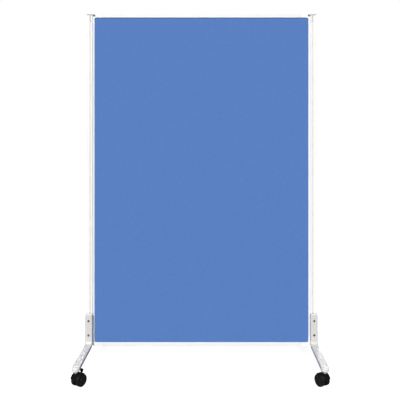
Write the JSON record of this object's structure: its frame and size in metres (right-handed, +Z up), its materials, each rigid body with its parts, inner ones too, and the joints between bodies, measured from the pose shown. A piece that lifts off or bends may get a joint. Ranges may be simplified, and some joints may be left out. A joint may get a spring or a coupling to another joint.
{
  "type": "partition wall",
  "caption": "Free-standing mobile partition: a framed felt panel between grooved posts on bent feet with twin-wheel swivel casters.",
  "frame": {"origin": "on the floor, midway between the posts and midway between the front and rear feet", "axes": "+Z up, +X to the right seen from the front, the front display face looks along -Y"},
  "size_m": [1.2564, 0.6216, 1.88],
  "materials": {
    "felt": "needled felt, matt",
    "core_board": "fibreboard",
    "white_metal": "satin powder coat",
    "white_plastic": "satin moulded",
    "grey_plastic": "moulded",
    "black_plastic": "moulded nylon",
    "tyre": "moulded nylon tread",
    "zinc_steel": "zinc plated",
    "black_steel": "blackened"
  },
  "bodies": {
    "stand": {"core_board": "core_board", "front_felt": "felt", "rear_felt": "felt", "frame_left_stile": "white_metal", "frame_right_stile": "white_metal", "frame_top_rail": "white_metal", "frame_top_left_corner": "white_plastic", "frame_top_right_corner": "white_plastic", "frame_bottom_rail": "white_metal", "frame_bottom_left_corner": "white_plastic", "frame_bottom_right_corner": "white_plastic", "left_post": "white_metal", "left_post_cap": "grey_plastic", "left_post_plug": "grey_plastic", "left_front_slot_strip": "white_plastic", "front_left_leg": "white_metal", "front_left_leg_nose": "white_plastic", "left_rear_slot_strip": "white_plastic", "rear_left_leg": "white_metal", "rear_left_leg_nose": "white_plastic", "left_upper_bolt": "black_steel", "left_upper_cap_nut": "zinc_steel", "left_lower_bolt": "black_steel", "left_lower_cap_nut": "zinc_steel", "right_post": "white_metal", "right_post_cap": "grey_plastic", "right_post_plug": "grey_plastic", "right_front_slot_strip": "white_plastic", "front_right_leg": "white_metal", "front_right_leg_nose": "white_plastic", "right_rear_slot_strip": "white_plastic", "rear_right_leg": "white_metal", "rear_right_leg_nose": "white_plastic", "right_upper_bolt": "black_steel", "right_upper_cap_nut": "zinc_steel", "right_lower_bolt": "black_steel", "right_lower_cap_nut": "zinc_steel", "front_left_caster_stem": "zinc_steel", "front_right_caster_stem": "zinc_steel", "rear_left_caster_stem": "zinc_steel", "rear_right_caster_stem": "zinc_steel"},
    "front_left_caster": {"front_left_caster_housing": "black_plastic", "front_left_caster_axle": "zinc_steel"},
    "front_left_caster_left_wheel": {"front_left_caster_left_wheel": "tyre"},
    "front_left_caster_right_wheel": {"front_left_caster_right_wheel": "tyre"},
    "front_left_caster_brake_lever": {"front_left_caster_brake_lever": "black_plastic"},
    "front_right_caster": {"front_right_caster_housing": "black_plastic", "front_right_caster_axle": "zinc_steel"},
    "front_right_caster_left_wheel": {"front_right_caster_left_wheel": "tyre"},
    "front_right_caster_right_wheel": {"front_right_caster_right_wheel": "tyre"},
    "rear_left_caster": {"rear_left_caster_housing": "black_plastic", "rear_left_caster_axle": "zinc_steel"},
    "rear_left_caster_left_wheel": {"rear_left_caster_left_wheel": "tyre"},
    "rear_left_caster_right_wheel": {"rear_left_caster_right_wheel": "tyre"},
    "rear_right_caster": {"rear_right_caster_housing": "black_plastic", "rear_right_caster_axle": "zinc_steel"},
    "rear_right_caster_left_wheel": {"rear_right_caster_left_wheel": "tyre"},
    "rear_right_caster_right_wheel": {"rear_right_caster_right_wheel": "tyre"},
    "rear_right_caster_brake_lever": {"rear_right_caster_brake_lever": "black_plastic"}
  },
  "joints": [
    {"name": "front_left_caster_swivel", "type": "hinge", "parent": "stand", "child": "front_left_caster", "pos_m": [-0.601, -0.288, 0.06], "axis": [0, 0, 1], "continuous": true},
    {"name": "front_left_caster_left_wheel_spin", "type": "hinge", "parent": "front_left_caster", "child": "front_left_caster_left_wheel", "pos_m": [-0.591, -0.27068, 0.03], "axis": [-0.866, 0.5, 0], "continuous": true},
    {"name": "front_left_caster_right_wheel_spin", "type": "hinge", "parent": "front_left_caster", "child": "front_left_caster_right_wheel", "pos_m": [-0.591, -0.27068, 0.03], "axis": [-0.866, 0.5, 0], "continuous": true},
    {"name": "front_left_caster_brake_lever_pivot", "type": "hinge", "parent": "front_left_caster", "child": "front_left_caster_brake_lever", "pos_m": [-0.583, -0.25682, 0.05049], "axis": [-0.866, 0.5, 0], "range_deg": [0, 25]},
    {"name": "front_right_caster_swivel", "type": "hinge", "parent": "stand", "child": "front_right_caster", "pos_m": [0.601, -0.288, 0.06], "axis": [0, 0, 1], "continuous": true},
    {"name": "front_right_caster_left_wheel_spin", "type": "hinge", "parent": "front_right_caster", "child": "front_right_caster_left_wheel", "pos_m": [0.591, -0.27068, 0.03], "axis": [-0.866, -0.5, 0], "continuous": true},
    {"name": "front_right_caster_right_wheel_spin", "type": "hinge", "parent": "front_right_caster", "child": "front_right_caster_right_wheel", "pos_m": [0.591, -0.27068, 0.03], "axis": [-0.866, -0.5, 0], "continuous": true},
    {"name": "rear_left_caster_swivel", "type": "hinge", "parent": "stand", "child": "rear_left_caster", "pos_m": [-0.601, 0.288, 0.06], "axis": [0, 0, 1], "continuous": true},
    {"name": "rear_left_caster_left_wheel_spin", "type": "hinge", "parent": "rear_left_caster", "child": "rear_left_caster_left_wheel", "pos_m": [-0.591, 0.27068, 0.03], "axis": [0.866, 0.5, 0], "continuous": true},
    {"name": "rear_left_caster_right_wheel_spin", "type": "hinge", "parent": "rear_left_caster", "child": "rear_left_caster_right_wheel", "pos_m": [-0.591, 0.27068, 0.03], "axis": [0.866, 0.5, 0], "continuous": true},
    {"name": "rear_right_caster_swivel", "type": "hinge", "parent": "stand", "child": "rear_right_caster", "pos_m": [0.601, 0.288, 0.06], "axis": [0, 0, 1], "continuous": true},
    {"name": "rear_right_caster_left_wheel_spin", "type": "hinge", "parent": "rear_right_caster", "child": "rear_right_caster_left_wheel", "pos_m": [0.591, 0.27068, 0.03], "axis": [0.866, -0.5, 0], "continuous": true},
    {"name": "rear_right_caster_right_wheel_spin", "type": "hinge", "parent": "rear_right_caster", "child": "rear_right_caster_right_wheel", "pos_m": [0.591, 0.27068, 0.03], "axis": [0.866, -0.5, 0], "continuous": true},
    {"name": "rear_right_caster_brake_lever_pivot", "type": "hinge", "parent": "rear_right_caster", "child": "rear_right_caster_brake_lever", "pos_m": [0.583, 0.25682, 0.05049], "axis": [0.866, -0.5, 0], "range_deg": [0, 25]}
  ]
}
